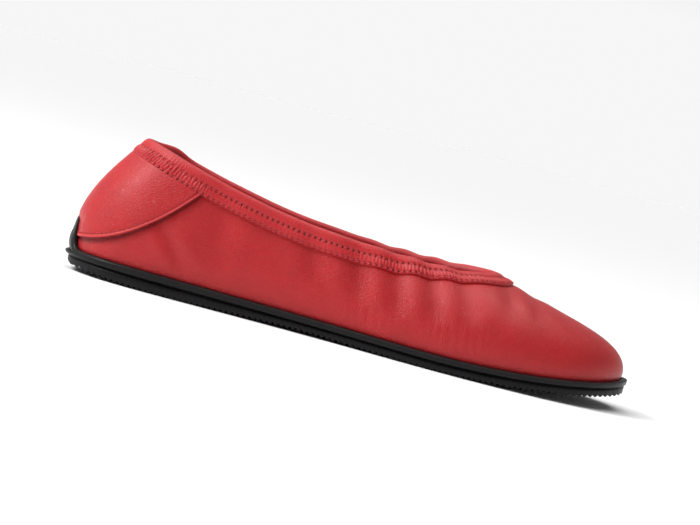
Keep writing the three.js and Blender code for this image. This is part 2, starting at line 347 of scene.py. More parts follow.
# Troughs left by rolling the shoe up, from the heel to the toes
CREASES = (
    Crease(rim=18, foot=55, depth=0.9, width=4.6, low=0.0, high=0.3),
    Crease(rim=60, foot=66, depth=0.6, width=6.5, low=0.12),
    Crease(rim=101, foot=112, depth=0.7, width=5.0, low=0.3),
    Crease(rim=122, foot=131, depth=1.1, width=4.6, low=0.22),
    Crease(rim=139, foot=148, depth=1.3, width=4.4, low=0.18),
    Crease(rim=154, foot=166, depth=1.2, width=4.4, low=0.2),
    Crease(rim=167, foot=183, depth=1.0, width=4.6, low=0.26),
    Crease(rim=190, foot=200, depth=0.7, width=4.2, low=0.4),
    Crease(rim=203, foot=210, depth=0.5, width=4.0, low=0.45),
)


@dataclass
class Leather:
    """Relief of the leather over the last: troughs, ridges, fine wrinkles, a slow sway and a slack collar.

    Spans that rise or fade are heights on the wall, and the others are in millimetres.
    """

    ridge: float = 0.42
    ridge_reach: float = 1.8
    crease_fade: float = 0.28
    collar_ease: float = 0.5
    collar_rises: Span = (0.72, 1.0)
    wrinkle: float = 0.09
    wrinkle_pitch: float = 3.3
    wrinkle_wander: float = 0.5
    wrinkle_wander_length: float = 6.1
    wrinkle_lean: float = 1.6
    flex_begins: Span = (90.0, 130.0)
    flex_ends: Span = (195.0, 225.0)
    flex_rises: Span = (0.02, 0.15)
    flex_fades: Span = (0.2, 0.55)
    patchiness: float = 0.35
    patch_length: float = 9.0
    patch_wander: float = 2.0
    patch_wander_length: float = 23.0
    sway: float = 0.3
    sway_length: float = 17.0
    sway_start: float = 0.6
    sway_up: float = 3.1
    sway_across: float = 0.04
    sway_rises: Span = (0.05, 0.3)
    slack: float = 1.5
    slack_along: float = 34.0
    slack_width: float = 6.0
    slack_sides: Span = (5.0, 14.0)
    slack_rises: Span = (0.7, 1.0)

    def troughs(self, points: Array, height: Array) -> Array:
        """Adds up the creases, each a trough between two low ridges.

        Args:
            points: Points of the wall.
            height: Their heights on it.

        Returns:
            One distance for each point, negative in a trough.
        """
        total = np.zeros(len(points))
        eased = 1 - self.collar_ease * smooth_step(*self.collar_rises, height)
        for crease in CREASES:
            centre = crease.foot + (crease.rim - crease.foot) * height
            away = np.abs(points[:, 0] - centre)
            shoulder = bump(away, self.ridge_reach * crease.width, crease.width)
            section = self.ridge * shoulder - bump(away, 0.0, crease.width)
            begins = (crease.low, crease.low + self.crease_fade)
            ends = (crease.high, crease.high + self.crease_fade)
            total += crease.depth * window(begins, ends, height) * eased * section
        return total

    def flexed(self, points: Array, height: Array) -> Array:
        """Gives where rolling has wrinkled the leather finely: low on the wall, from the waist to the toes.

        Args:
            points: Points of the wall.
            height: Their heights on it.

        Returns:
            A share from 0 to 1 for each point.
        """
        along = points[:, 0]
        forward = window(self.flex_begins, self.flex_ends, along)
        near_sole = window(self.flex_rises, self.flex_fades, height)
        wander = self.patch_wander * np.sin(along / self.patch_wander_length)
        patches = 1 - self.patchiness * (1 - np.sin(along / self.patch_length + wander))
        return forward * near_sole * patches

    def relief(self, points: Array, height: Array) -> Array:
        """Gives how far the leather stands off the last, along its normal.

        Args:
            points: Points of the wall.
            height: Their heights on it.

        Returns:
            One distance for each point.
        """
        along = points[:, 0]
        wander = self.wrinkle_wander * np.sin(along / self.wrinkle_wander_length)
        phase = along / self.wrinkle_pitch + wander + self.wrinkle_lean * height
        fine = self.wrinkle * self.flexed(points, height) * np.sin(2 * math.pi * phase)
        swing = np.sin(along / self.sway_length + self.sway_start)
        swing *= np.sin(self.sway_up * height + self.sway_across * points[:, 1])
        return self.troughs(points, height) + fine + self.sway * swing * smooth_step(*self.sway_rises, height)

    def lift(self, points: Array, height: Array) -> Array:
        """Gives how far the slack collar rises in a soft wave on the inner side of the heel.

        Args:
            points: Points of the wall.
            height: Their heights on it.

        Returns:
            One rise for each point.
        """
        wave = bump(points[:, 0], self.slack_along, self.slack_width)
        inner = smooth_step(*self.slack_sides, points[:, 1])
        return self.slack * wave * inner * smooth_step(*self.slack_rises, height)

    def stand_off(self, points: Array, normal: Array, height: Array, offset: Array | float) -> Array:
        """Moves points of the wall so that they stand off the creased leather.

        Args:
            points: Points of the wall.
            normal: Directions out of it.
            height: Heights on it.
            offset: How far the points stand off.

        Returns:
            The moved points.
        """
        moved = points + normal * (self.relief(points, height) + offset)[:, None]
        moved[:, 2] += self.lift(points, height)
        return moved


@dataclass
class Patch:
    """Points of a mapped grid on the last, with the marks that its finish reads."""

    points: Array
    marks: dict[str, Array] = field(default_factory=dict)


def map_grid(
    columns: int, rows: int, place: Callable[[Array, Array], Patch], last: Last
) -> bmesh.types.BMesh:
    """Makes a grid and moves its vertices to their places on the shoe.

    Args:
        columns: Faces across the grid.
        rows: Faces up the grid.
        place: Gives the points for the numbers of column and row.
        last: Last that the points lie on.

    Returns:
        The mapped mesh, its meeting edges merged.
    """
    mesh = bmesh.new()
    bmesh.ops.create_grid(mesh, x_segments=columns, y_segments=rows, size=0.5)
    shares = np.array([vert.co[:2] for vert in mesh.verts]) + 0.5
    counts = np.rint(shares * (columns, rows)).astype(int)
    patch = place(counts[:, 0], counts[:, 1])
    for vert, point in zip(mesh.verts, last.placed(patch.points)):
        vert.co = point
    for name, values in patch.marks.items():
        layer = mesh.verts.layers.float.new(name)
        for vert, value in zip(mesh.verts, values):
            vert[layer] = value
    bmesh.ops.remove_doubles(mesh, verts=mesh.verts, dist=MERGE)
    bmesh.ops.dissolve_degenerate(mesh, edges=mesh.edges, dist=MERGE)
    return mesh


def finish_piece(
    name: str,
    mesh: bmesh.types.BMesh,
    materials: Sequence[bpy.types.Material],
    replaces: str | None = None,
    sharp_angle: float | None = None,
) -> bpy.types.Object:
    """Turns a mesh into a piece that rides on the shoe.

    Args:
        name: Name of the piece.
        mesh: Mesh to use up.
        materials: Materials, in the order of the faces' material numbers.
        replaces: Node that the piece stands for.
        sharp_angle: Angle in degrees past which an edge stays sharp.

    Returns:
        The new object.
    """
    bmesh.ops.recalc_face_normals(mesh, faces=mesh.faces)
    for face in mesh.faces:
        face.smooth = True
    data = bpy.data.meshes.new(name)
    mesh.to_mesh(data)
    mesh.free()
    if sharp_angle is not None:
        data.set_sharp_from_angle(angle=math.radians(sharp_angle))
    for material in materials:
        data.materials.append(material)
    piece = bpy.data.objects.new(name, data)
    bpy.context.scene.collection.objects.link(piece)
    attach(piece, BODY)
    if replaces:
        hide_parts(replaces)
    return piece


def linear(hex_colour: str) -> tuple[float, float, float, float]:
    """Turns an sRGB hex colour into linear values."""
    channels = (int(hex_colour[i : i + 2], 16) / 255.0 for i in (1, 3, 5))
    return (*(c / 12.92 if c <= 0.04045 else ((c + 0.055) / 1.055) ** 2.4 for c in channels), 1.0)


def set_inputs(tree: bpy.types.NodeTree, node: bpy.types.Node, inputs: dict) -> None:
    """Sets a node's inputs, or links those that are given sockets.

    Args:
        tree: Tree that the node is in.
        node: Node to set.
        inputs: Values, or output sockets to link, by the input's name or number.
    """
    for key, value in inputs.items():
        if isinstance(value, bpy.types.NodeSocket):
            tree.links.new(value, node.inputs[key])
        else:
            node.inputs[key].default_value = value


def add_node(
    tree: bpy.types.NodeTree, kind: str, output: str | int, inputs: dict | None = None, **settings: str
) -> bpy.types.NodeSocket:
    """Adds a node with its settings and links.

    Args:
        tree: Tree to add to.
        kind: Type of node, without its prefix.
        output: Name or number of the output that is used.
        inputs: Values, or output sockets to link, by the input's name or number.
        settings: Attributes of the node to set.

    Returns:
        The output's socket.
    """
    node = tree.nodes.new("ShaderNode" + kind)
    for name, value in settings.items():
        setattr(node, name, value)
    set_inputs(tree, node, inputs or {})
    return node.outputs[output]


def new_material(name: str) -> tuple[bpy.types.Material, bpy.types.NodeTree, bpy.types.Node]:
    """Starts a material.

    Args:
        name: Name of the material.

    Returns:
        The material, its tree and its shader.
    """
    material = bpy.data.materials.new(name)
    material.use_nodes = True
    return material, material.node_tree, material.node_tree.nodes["Principled BSDF"]


# Radians that a wave texture draws to a unit, and the span of most values of a noise texture
WAVE_RADIANS = 20.0
NOISE_LOW = 0.3
NOISE_HIGH = 0.7


def per_metre(size: float) -> float:
    """Gives a texture scale for a pattern of a size in millimetres."""
    return 1.0 / (size * MM)


def bands_per_metre(size: float) -> float:
    """Gives a wave texture's scale for bands a size in millimetres apart."""
    return per_metre(size) * 2 * math.pi / WAVE_RADIANS


class Mix(IntEnum):
    """Sockets of a node that mixes colours."""

    FACTOR = 0
    FIRST = 6
    SECOND = 7
    RESULT = 2


@dataclass(frozen=True)
class NappaLeather:
    """Dyed smooth nappa with a satin topcoat: soft broad highlights over fine pebbled grain.

    The grain of such leather is about 0.5 mm. It is drawn at 1 mm, so that it shows in the render.
    """

    name: str = "red nappa leather"
    light: str = "#bd2125"
    deep: str = "#a3191d"
    # Painted shade, for creases, needle holes, gather folds and the foot of the heel seam
    shadow: str = "#700006"
    # Painted highlight, for the crest of the heel piece's turned edge
    painted_highlight: str = "#e2565a"
    roughness: float = 0.43
    smoother: float = 0.05
    rougher: float = 0.07
    ior: float = 1.39
    coat: float = 0.1
    coat_roughness: float = 0.33
    blotch: float = 14.0
    grain: float = 1.0
    grain_edge: float = 0.22
    grain_depth: float = 0.12
    pore: float = 2.4
    pore_depth: float = 0.14
    wrinkle: float = 1.3
    wrinkle_depth: float = 0.2
    wrinkle_patch: float = 8.0

    def material(self) -> bpy.types.Material:
        """Builds the nodes.

        Returns:
            The material, which reads three marks of the piece: its painted shade, its painted highlight and
            where it is flexed.
        """
        material, tree, shader = new_material(self.name)
        place = add_node(tree, "TexCoord", "Object")
        painted_shade, worn_and_highlight, flexed = (
            add_node(tree, "Attribute", "Fac", attribute_name=mark) for mark in ("painted_shade", "worn_and_highlight", "flexed")
        )
        blotch, pores, patch = (
            add_node(tree, "TexNoise", "Fac", {"Vector": place, "Scale": per_metre(size), "Detail": detail})
            for size, detail in ((self.blotch, 3.0), (self.pore, 4.0), (self.wrinkle_patch, 2.0))
        )
        # The dye varies in blotches, painted shade darkens creases and needle holes, and a painted highlight
        # lightens ridges
        colour = linear(self.deep)
        for factor, tint in ((blotch, self.light), (painted_shade, self.shadow), (worn_and_highlight, self.painted_highlight)):
            mixed = {Mix.FACTOR: factor, Mix.FIRST: colour, Mix.SECOND: linear(tint)}
            colour = add_node(tree, "Mix", Mix.RESULT, mixed, data_type="RGBA")
        gloss = add_node(
            tree,
            "MapRange",
            "Result",
            {
                "Value": pores,
                "From Min": NOISE_LOW,
                "From Max": NOISE_HIGH,
                "To Min": self.roughness - self.smoother,
                "To Max": self.roughness + self.rougher,
            },
        )
        # Wrinkles run across the foot in patches, where the leather has been flexed
        lines = add_node(
            tree,
            "TexWave",
            "Fac",
            {"Vector": place, "Scale": bands_per_metre(self.wrinkle), "Distortion": 7.0, "Detail": 2.0},
            wave_type="BANDS",
            bands_direction="X",
        )
        patchy = add_node(tree, "MapRange", "Result", {"Value": patch, "From Min": 0.4, "From Max": 0.68})
        where = add_node(tree, "Math", "Value", {0: patchy, 1: flexed}, operation="MULTIPLY")
        wrinkles = add_node(tree, "Math", "Value", {0: lines, 1: where}, operation="MULTIPLY")
        cells = add_node(
            tree,
            "TexVoronoi",
            "Distance",
            {"Vector": place, "Scale": per_metre(self.grain), "Randomness": 1.0},
            feature="DISTANCE_TO_EDGE",
        )
        pebbles = add_node(tree, "MapRange", "Result", {"Value": cells, "From Max": self.grain_edge})
        # Strength, depth and height of each layer of relief
        layers = (
            (0.3, self.pore_depth, pores),
            (0.6, self.wrinkle_depth, wrinkles),
            (0.7, self.grain_depth, pebbles),
        )
        relief: dict[str, bpy.types.NodeSocket] = {}
        for strength, depth, height in layers:
            layer = {"Strength": strength, "Distance": depth * MM, "Height": height, **relief}
            relief["Normal"] = add_node(tree, "Bump", "Normal", layer)
        set_inputs(tree, shader, {"Base Color": colour, "Roughness": gloss, "IOR": self.ior, **relief})
        set_inputs(tree, shader, {"Coat Weight": self.coat, "Coat Roughness": self.coat_roughness})
        return material


@dataclass(frozen=True)
class MouldedRubber:
    """Black moulded rubber: dark, softly glossy on its edges, with a faint bloom and a mould's fine tooth."""

    name: str = "moulded black rubber"
    base: str = "#0b0a0c"
    bloom: str = "#151317"
    roughness: float = 0.46
    smoother: float = 0.06
    rougher: float = 0.12
    specular: float = 0.2
    cloud: float = 9.0
    tooth: float = 0.7
    tooth_depth: float = 0.06

    def material(self) -> bpy.types.Material:
        """Builds the nodes.

        Returns:
            The material.
        """
        material, tree, shader = new_material(self.name)
        place = add_node(tree, "TexCoord", "Object")
        cloud, fine = (
            add_node(tree, "TexNoise", "Fac", {"Vector": place, "Scale": per_metre(size), "Detail": detail})
            for size, detail in ((self.cloud, 5.0), (self.tooth, 3.0))
        )
        dust = add_node(tree, "MapRange", "Result", {"Value": cloud, "From Min": 0.35, "From Max": 0.75})
        mixed = {Mix.FACTOR: dust, Mix.FIRST: linear(self.base), Mix.SECOND: linear(self.bloom)}
        colour = add_node(tree, "Mix", Mix.RESULT, mixed, data_type="RGBA")
        gloss = add_node(
            tree,
            "MapRange",
            "Result",
            {
                "Value": cloud,
                "From Min": NOISE_LOW,
                "From Max": NOISE_HIGH,
                "To Min": self.roughness - self.smoother,
                "To Max": self.roughness + self.rougher,
            },
        )
        relief = {"Strength": 0.35, "Distance": self.tooth_depth * MM, "Height": fine}
        normal = add_node(tree, "Bump", "Normal", relief)
        set_inputs(tree, shader, {"Base Color": colour, "Roughness": gloss, "Normal": normal})
        set_inputs(tree, shader, {"Specular IOR Level": self.specular})
        return material


@dataclass(frozen=True)
class LiningCloth:
    """Black brushed cloth: matt, with a soft sheen at grazing angles and a plain weave.

    Its threads are about 0.3 mm apart. They are drawn at 0.8 mm, so that they show in the render.
    """

    name: str = "black brushed lining cloth"
    base: str = "#141115"
    worn_and_highlight: str = "#232025"
    roughness: float = 0.92
    ior: float = 1.4
    sheen: float = 0.25
    sheen_roughness: float = 0.5
    thread: float = 0.8
    thread_depth: float = 0.1
    fuzz: float = 6.0

    def material(self) -> bpy.types.Material:
        """Builds the nodes.

        Returns:
            The material.
        """
        material, tree, shader = new_material(self.name)
        place = add_node(tree, "TexCoord", "Object")
        threads = {"Vector": place, "Scale": bands_per_metre(self.thread), "Distortion": 0.6}
        warp, weft = (
            add_node(tree, "TexWave", "Fac", threads, wave_type="BANDS", bands_direction=way) for way in "XZ"
        )
        weave = add_node(tree, "Math", "Value", {0: warp, 1: weft}, operation="MULTIPLY")
        fuzz = add_node(
            tree, "TexNoise", "Fac", {"Vector": place, "Scale": per_metre(self.fuzz), "Detail": 4.0}
        )
        mixed = {Mix.FACTOR: fuzz, Mix.FIRST: linear(self.base), Mix.SECOND: linear(self.worn_and_highlight)}
        colour = add_node(tree, "Mix", Mix.RESULT, mixed, data_type="RGBA")
        relief = {"Strength": 0.4, "Distance": self.thread_depth * MM, "Height": weave}
        normal = add_node(tree, "Bump", "Normal", relief)
        set_inputs(tree, shader, {"Base Color": colour, "Roughness": self.roughness, "Normal": normal})
        sheen = {"Sheen Weight": self.sheen, "Sheen Roughness": self.sheen_roughness}
        set_inputs(tree, shader, {"IOR": self.ior, **sheen})
        return material


@dataclass(frozen=True)
class SewingThread:
    """Red polyester sewing thread: twisted, with a slight sheen along its strands."""

    name: str = "red polyester thread"
    base: str = "#c22f36"
    roughness: float = 0.55
    twist: float = 0.35
    twist_depth: float = 0.05

    def material(self) -> bpy.types.Material:
        """Builds the nodes.

        Returns:
            The material.
        """
        material, tree, shader = new_material(self.name)
        place = add_node(tree, "TexCoord", "Object")
        strands = add_node(
            tree,
            "TexWave",
            "Fac",
            {"Vector": place, "Scale": bands_per_metre(self.twist)},
            wave_type="BANDS",
            bands_direction="DIAGONAL",
        )
        relief = {"Strength": 0.5, "Distance": self.twist_depth * MM, "Height": strands}
        normal = add_node(tree, "Bump", "Normal", relief)
        set_inputs(
            tree, shader, {"Base Color": linear(self.base), "Roughness": self.roughness, "Normal": normal}
        )
        return material


class Finishes:
    """Materials that the pieces share."""

    def __init__(self) -> None:
        """Makes each material once."""
        self.leather = NappaLeather().material()
        self.binding = NappaLeather("red nappa binding", light="#c4252a", deep="#ab1c21").material()
        self.tread = MouldedRubber().material()
        self.lip = MouldedRubber("smooth black rubber", "#0f0d0e", "#191718", roughness=0.38).material()
        self.lining = LiningCloth().material()
        self.thread = SewingThread().material()
        self.seam_thread = SewingThread("dark red polyester thread", "#9c141b").material()


@dataclass
class HeelSeam:
    """Line of the heel piece's lower edge: level at the back of the heel, then sweeping up to the collar."""

    last: Last
    low: float = 5.2
    rise: float = 33.5
    reach: float = 52.0
    power: float = 1.85

    def level(self, along: Array) -> Array:
        """Gives the seam's height over the floor at places along the sole."""
        share = np.maximum(along, 0.0) / self.reach
        return self.last.lip_level + self.low + self.rise * share**self.power


@dataclass
class LeatherPiece:
    """Piece of leather that is laid over the creased form of the shoe."""

    last: Last
    leather: Leather
    finishes: Finishes

    def surface(self, around: Array, height: Array, offset: Array | float) -> tuple[Array, Array]:
        """Gives points that stand off the creased leather, with the normals there.

        Args:
            around: Places round the foot.
            height: Heights on the wall.
            offset: How far the points stand off.

        Returns:
            The points and the normals.
        """
        points, _, normal = self.last.frame(around, height)
        return self.leather.stand_off(points, normal, height, offset), normal


@dataclass
class Upper(LeatherPiece):
    """Whole-cut leather upper with its lining: one closed wall, open at the collar and underneath."""

    seam: HeelSeam
    columns: int = 760
    outer_rows: int = 64
    row_crowding: float = 1.4
    inner_rows: int = 18
    wall: float = 1.8
    # Painted shade in the creases, growing with their depth up to a most
    crease_shade: float = 0.12
    crease_shade_most: float = 0.2
    seam_trough: float = 0.6
    seam_trough_width: float = 3.5
    seam_trough_above: float = 2.0
    # Painted shadow in a line under the ridge of the heel seam
    seam_shadow: float = 0.95
    seam_shadow_under: float = 0.6
    seam_shadow_width: float = 1.25
    seam_fade: float = 6.0
    turn_in: float = 0.9
    turn_reach: float = 1.6

    def seam_fall(self, points: Array) -> tuple[Array, Array]:
        """Gives how far points lie under the heel seam, and a share that fades out past its end."""
        under = self.seam.level(points[:, 0]) - points[:, 2]
        return under, 1 - smooth_step(self.seam.reach, self.seam.reach + self.seam_fade, points[:, 0])

    def drawn_in(self, points: Array) -> Array:
        """Gives how far the leather is drawn in: in a trough under the heel seam and at its edge by the sole.

        Args:
            points: Points of the wall.

        Returns:
            One distance for each point.
        """
        under, share = self.seam_fall(points)
        near = np.exp(-np.maximum(under, 0.0) / self.seam_trough_width)
        near *= smooth_step(-self.seam_trough_above, 0.0, under)
        over = points[:, 2] - self.last.foot_level - self.last.lift(points[:, 0])
        turned = self.turn_in * np.exp(-np.maximum(over, 0.0) / self.turn_reach)
        return self.seam_trough * near * share + turned

    def shade(self, points: Array, height: Array) -> Array:
        """Gives the painted shade in the creases, and the painted shadow along the foot of the heel seam.

        Args:
            points: Points of the wall.
            height: Their heights on it.

        Returns:
            A share for each point.
        """
        under, share = self.seam_fall(points)
        depth = -self.leather.troughs(points, height)
        creased = np.clip(depth * self.crease_shade, 0.0, self.crease_shade_most)
        return creased + self.seam_shadow * share * bump(under, self.seam_shadow_under, self.seam_shadow_width)

    def place(self, column: Array, row: Array) -> Patch:
        """Places the section's rows: up the outside, over the collar and down the inside.

        Args:
            column: Numbers of column.
            row: Numbers of row.

        Returns:
            The points, with the lining, the painted shade and the flexed places marked.
        """
        line = row % (self.outer_rows + self.inner_rows)
        upwards = np.linspace(0, 1, self.outer_rows) ** self.row_crowding
        height = np.concatenate([upwards, np.linspace(1, 0, self.inner_rows)])[line]
        inside = (line >= self.outer_rows).astype(float)
        points, _, normal = self.last.frame(column / self.columns, height)
        offset = -self.drawn_in(points) - self.wall * inside
        marks = {
            "lined": inside,
            "painted_shade": self.shade(points, height) * (1 - inside),
            "flexed": self.leather.flexed(points, height) * (1 - inside),
        }
        return Patch(self.leather.stand_off(points, normal, height, offset), marks)

    def build(self) -> bpy.types.Object:
        """Builds the upper and lines its inside.

        Returns:
            The piece.
        """
        mesh = map_grid(self.columns, self.outer_rows + self.inner_rows, self.place, self.last)
        lined = mesh.verts.layers.float["lined"]
        for face in mesh.faces:
            face.material_index = int(all(vert[lined] > 0.5 for vert in face.verts))
        materials = (self.finishes.leather, self.finishes.lining)
        return finish_piece("leather_upper", mesh, materials, "upper")


@dataclass
class HeelPiece(LeatherPiece):
    """Leather overlay round the back of the heel, its lower edge turned under and stitched."""

    seam: HeelSeam
    columns: int = 640
    field_rows: int = 24
    tuck_rows: int = 12
    back_rows: int = 6
    search_steps: int = 400
    search_reach: float = 0.25
    panel_offset: float = 1.32
    lowest_offset: float = 0.05
    tuck: float = 4.0
    tuck_start: float = 8.2
    tuck_thins: Span = (-1.2, -0.3)
    tuck_offset: float = 0.35
    stitch_distance: float = 1.85
    stitch_pitch: float = 2.2
    stitch_radius: float = 0.2
    stitch_lift: float = 0.05
    # Painted shade in dashes along the stitch row, where the needle holes are
    stitch_hole_shade: float = 0.5
    stitch_dash: Span = (-0.2, 0.3)
    # Painted highlight on the crest of the turned edge, where it stands above the panel
    ridge_highlight: float = 0.28
    ridge_top: float = 1.85
    pressed: float = 0.3
    tab_sides: Span = (9.0, 14.5)
    tab_rises: Span = (7.0, 10.0)

    # Section across the turned edge: distance up from the seam, and how far it stands off the upper
    EDGE = (
        (0.45, 0.05),
        (0.14, 0.5),
        (0.0, 1.05),
        (0.08, 1.5),
        (0.28, 1.8),
        (0.55, 1.94),
        (0.85, 1.88),
        (1.15, 1.66),
        (1.4, 1.4),
        (1.6, 1.2),
        (1.85, 1.13),
        (2.4, 1.2),
        (3.4, 1.29),
    )

    def __post_init__(self) -> None:
        """Lays out the grid: the places of its columns, and the heights and offsets of its rows."""
        self.around = np.linspace(*self.span(), self.columns + 1)
        heights, points = self.last.wall_table(self.around)
        runs = running_length(points)
        seams = self.seam_heights(self.around)
        start = np.array([[np.interp(seam, heights[::-1], run[::-1])] for seam, run in zip(seams, runs)])
        up = self.rows_up(start)
        below = start - up
        self.heights = np.array([np.interp(row, run, heights) for row, run in zip(below, runs)])
        self.offsets = self.row_offsets(up, below)
        self.stitch_row = [distance for distance, _ in self.EDGE].index(self.stitch_distance)

    def seam_heights(self, around: Array) -> Array:
        """Finds where the seam crosses the wall.

        Args:
            around: Places round the foot.

        Returns:
            One height for each place.
        """
        heights, points = self.last.wall_table(around)
        over = points[:, :, 2] - self.seam.level(points[:, :, 0])
        return np.array([np.interp(0.0, row[::-1], heights[::-1]) for row in over])

    def span(self) -> Span:
        """Finds the stretch of the heel piece.

        Returns:
            The places on the inner and the outer side where the seam runs under the binding.
        """
        around = np.linspace(-self.search_reach, self.search_reach, self.search_steps)
        tucked = self.last.heights_below_rim(around, [self.tuck])[:, 0]
        inside = around[self.seam_heights(around) < tucked]
        return float(inside.min()), float(inside.max())

    def rows_up(self, start: Array) -> Array:
        """Spaces the rows: over the turned edge, up the showing panel, under the binding and down the back.

        Args:
            start: How far the seam lies below the collar at each place, as a column.

        Returns:
            How far each row lies up from the seam at each place.
        """
        edge = np.array(self.EDGE)[:, 0]
        room = np.maximum(start - self.tuck, 0.0)
        low = edge * np.minimum(1.0, room / edge[-1])
        turned = low[:, -1:]
        showing = np.maximum(start - self.tuck_start - turned, 0.0)
        panel = turned + showing * np.linspace(0, 1, self.field_rows + 1)[1:]
        under = np.linspace(0, 1, self.tuck_rows + 1)[1:]
        tucked = turned + showing + (room - turned - showing) * under
        back = room * np.linspace(1, 0, self.back_rows)
        return np.concatenate([low, panel, tucked, back], axis=1)

    def row_offsets(self, up: Array, below: Array) -> Array:
        """Gives how far the rows stand off the upper: thin under the binding, and pressed flat by the tab.

        Args:
            up: How far each row lies up from the seam at each place.
            below: How far it lies below the collar.

        Returns:
            Offsets in the same rows.
        """
        edge = np.array(self.EDGE)[:, 1]
        panel = np.full(self.field_rows + self.tuck_rows, self.panel_offset)
        plain = np.concatenate([edge, panel, np.full(self.back_rows, self.lowest_offset)])
        thins_from, thins_to = self.tuck_thins
        shown = smooth_step(self.tuck_start + thins_from, self.tuck_start + thins_to, below)
        offsets = np.minimum(plain, self.tuck_offset) + np.maximum(plain - self.tuck_offset, 0.0) * shown
        side = np.abs(self.last.sole_edge(self.around)[:, 1:])
        free = np.maximum(smooth_step(*self.tab_sides, side), smooth_step(*self.tab_rises, up))
        return offsets * (self.pressed + (1 - self.pressed) * free)

    def place(self, column: Array, row: Array) -> Patch:
        """Places the section's rows, with painted shade in dashes along the stitch row and a painted
        highlight on the crest of the turned edge.

        Args:
            column: Numbers of column.
            row: Numbers of row.

        Returns:
            The points and their marks.
        """
        rows = self.heights.shape[1]
        line = row % rows
        seam, _ = self.surface(
            self.around, self.heights[:, self.stitch_row], self.offsets[:, self.stitch_row]
        )
        wave = np.sin(2 * math.pi * running_length(seam)[column] / self.stitch_pitch)
        sewn = np.isin(line, (self.stitch_row - 1, self.stitch_row))
        crests = np.zeros(rows)
        crests[: len(self.EDGE)] = np.array(self.EDGE)[:, 1]
        # Painted shade in dashes along the stitch row, and a painted highlight on the crest of the turned
        # edge
        marks = {
            "painted_shade": self.stitch_hole_shade * sewn * smooth_step(*self.stitch_dash, wave),
            "worn_and_highlight": self.ridge_highlight * smooth_step(self.panel_offset, self.ridge_top, crests[line]),
        }
        points, _ = self.surface(self.around[column], self.heights[column, line], self.offsets[column, line])
        return Patch(points, marks)

    def build(self) -> bpy.types.Object:
        """Builds the overlay.

        Returns:
            The piece.
        """
        mesh = map_grid(self.columns, self.heights.shape[1], self.place, self.last)
        bmesh.ops.holes_fill(mesh, edges=mesh.edges, sides=0)
        materials = [self.finishes.leather]
        return finish_piece("leather_heel_piece", mesh, materials, "heel_piece")

    def stitch_line(self) -> tuple[Array, Array]:
        """Follows the stitch row along the turned edge, as far as it shows.

        Returns:
            The points of the row and their normals.
        """
        height = self.heights[:, self.stitch_row]
        keep = height < self.heights[:, -self.back_rows]
        offset = self.offsets[keep, self.stitch_row] + self.stitch_lift
        return self.surface(self.around[keep], height[keep], offset)


